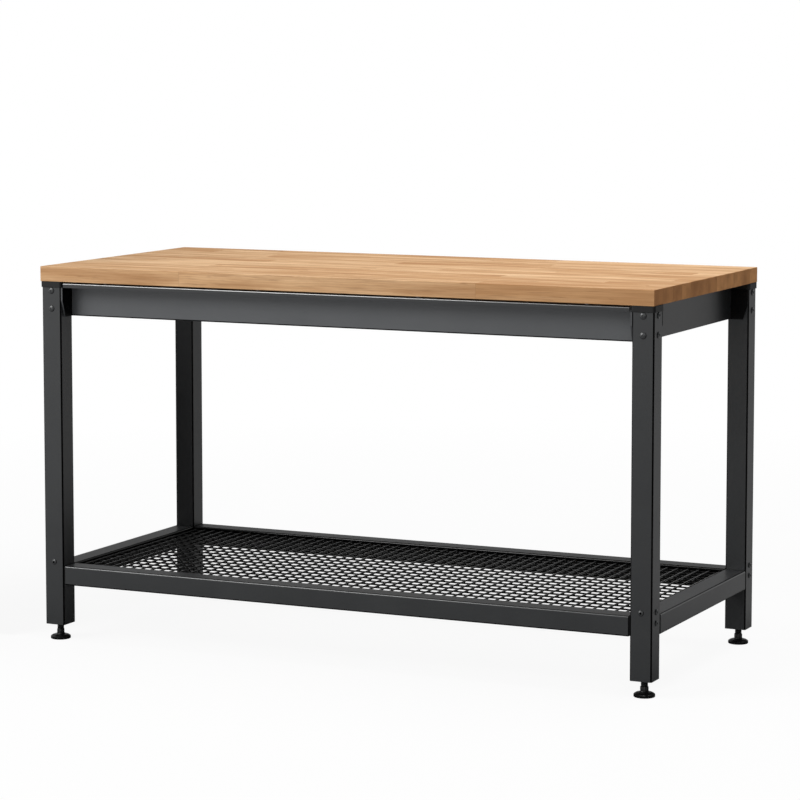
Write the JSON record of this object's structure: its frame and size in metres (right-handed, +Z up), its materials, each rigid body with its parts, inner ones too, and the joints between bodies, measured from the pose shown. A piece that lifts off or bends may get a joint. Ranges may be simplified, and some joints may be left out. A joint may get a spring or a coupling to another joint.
{
  "type": "workbench",
  "caption": "Workbench with a butcher-block top on square steel tube legs, recessed steel aprons, a welded wire lower shelf and screw-adjusted levelling feet.",
  "frame": {"origin": "middle of the footprint, on the floor under the foot pads", "axes": "+X along the length to the right seen from the front, +Y to the rear, +Z up"},
  "size_m": [1.5272, 0.686, 0.884],
  "materials": {
    "butcher_block": "oiled satin",
    "powder_coat": "fine-textured charcoal powder coat",
    "wire_coating": "charcoal powder coat",
    "plate_coat": "satin black paint",
    "cast_block": "as cast",
    "cap_plastic": "matt moulded",
    "black_steel": "black oxide",
    "zinc_steel": "zinc plated",
    "pad_plastic": "gloss moulded"
  },
  "bodies": {
    "frame": {"worktop": "butcher_block", "shelf_mesh": "wire_coating", "shelf_ledges": "plate_coat", "leg_fl": "powder_coat", "cap_fl": "cap_plastic", "insert_fl": "zinc_steel", "leg_fr": "powder_coat", "cap_fr": "cap_plastic", "insert_fr": "zinc_steel", "leg_rl": "powder_coat", "cap_rl": "cap_plastic", "insert_rl": "zinc_steel", "leg_rr": "powder_coat", "cap_rr": "cap_plastic", "insert_rr": "zinc_steel", "apron_front": "powder_coat", "apron_plates_front": "plate_coat", "rail_front": "powder_coat", "rail_plates_front": "plate_coat", "apron_rear": "powder_coat", "apron_plates_rear": "plate_coat", "rail_rear": "powder_coat", "rail_plates_rear": "plate_coat", "apron_left": "powder_coat", "apron_plates_left": "plate_coat", "rail_left": "powder_coat", "rail_plates_left": "plate_coat", "apron_right": "powder_coat", "apron_plates_right": "plate_coat", "rail_right": "powder_coat", "rail_plates_right": "plate_coat", "apron_bolts_faces": "black_steel", "apron_bolts_ends": "black_steel", "shelf_bolts_faces": "black_steel", "shelf_bolts_ends": "black_steel", "apron_plate_bolts": "black_steel", "rail_plate_bolts": "black_steel", "apron_blocks": "cast_block", "shelf_blocks": "cast_block", "worktop_screws": "zinc_steel", "worktop_spacers": "zinc_steel"},
    "foot_fl": {"pad_fl": "pad_plastic"},
    "screw_fl": {"stud_fl": "black_steel"},
    "foot_fr": {"pad_fr": "pad_plastic"},
    "screw_fr": {"stud_fr": "black_steel"},
    "foot_rl": {"pad_rl": "pad_plastic"},
    "screw_rl": {"stud_rl": "black_steel"},
    "foot_rr": {"pad_rr": "pad_plastic"},
    "screw_rr": {"stud_rr": "black_steel"}
  },
  "joints": [
    {"name": "foot_fl_height", "type": "slide", "parent": "frame", "child": "foot_fl", "axis": [0, 0, 1], "range_m": [-0.02, 0.012]},
    {"name": "stud_fl_turn", "type": "hinge", "parent": "foot_fl", "child": "screw_fl", "pos_m": [-0.7351, -0.3131, 0.0175], "axis": [0, 0, 1], "range_deg": [-3600.5, 2160.5]},
    {"name": "foot_fr_height", "type": "slide", "parent": "frame", "child": "foot_fr", "axis": [0, 0, 1], "range_m": [-0.02, 0.012]},
    {"name": "stud_fr_turn", "type": "hinge", "parent": "foot_fr", "child": "screw_fr", "pos_m": [0.7351, -0.3131, 0.0175], "axis": [0, 0, 1], "range_deg": [-3600.5, 2160.5]},
    {"name": "foot_rl_height", "type": "slide", "parent": "frame", "child": "foot_rl", "axis": [0, 0, 1], "range_m": [-0.02, 0.012]},
    {"name": "stud_rl_turn", "type": "hinge", "parent": "foot_rl", "child": "screw_rl", "pos_m": [-0.7351, 0.3131, 0.0175], "axis": [0, 0, 1], "range_deg": [-3600.5, 2160.5]},
    {"name": "foot_rr_height", "type": "slide", "parent": "frame", "child": "foot_rr", "axis": [0, 0, 1], "range_m": [-0.02, 0.012]},
    {"name": "stud_rr_turn", "type": "hinge", "parent": "foot_rr", "child": "screw_rr", "pos_m": [0.7351, 0.3131, 0.0175], "axis": [0, 0, 1], "range_deg": [-3600.5, 2160.5]}
  ],
  "couplings": [
    {"joint": "stud_fl_turn", "follows": "foot_fl_height", "rad_per_m": 3141.6},
    {"joint": "stud_fr_turn", "follows": "foot_fr_height", "rad_per_m": 3141.6},
    {"joint": "stud_rl_turn", "follows": "foot_rl_height", "rad_per_m": 3141.6},
    {"joint": "stud_rr_turn", "follows": "foot_rr_height", "rad_per_m": 3141.6}
  ]
}
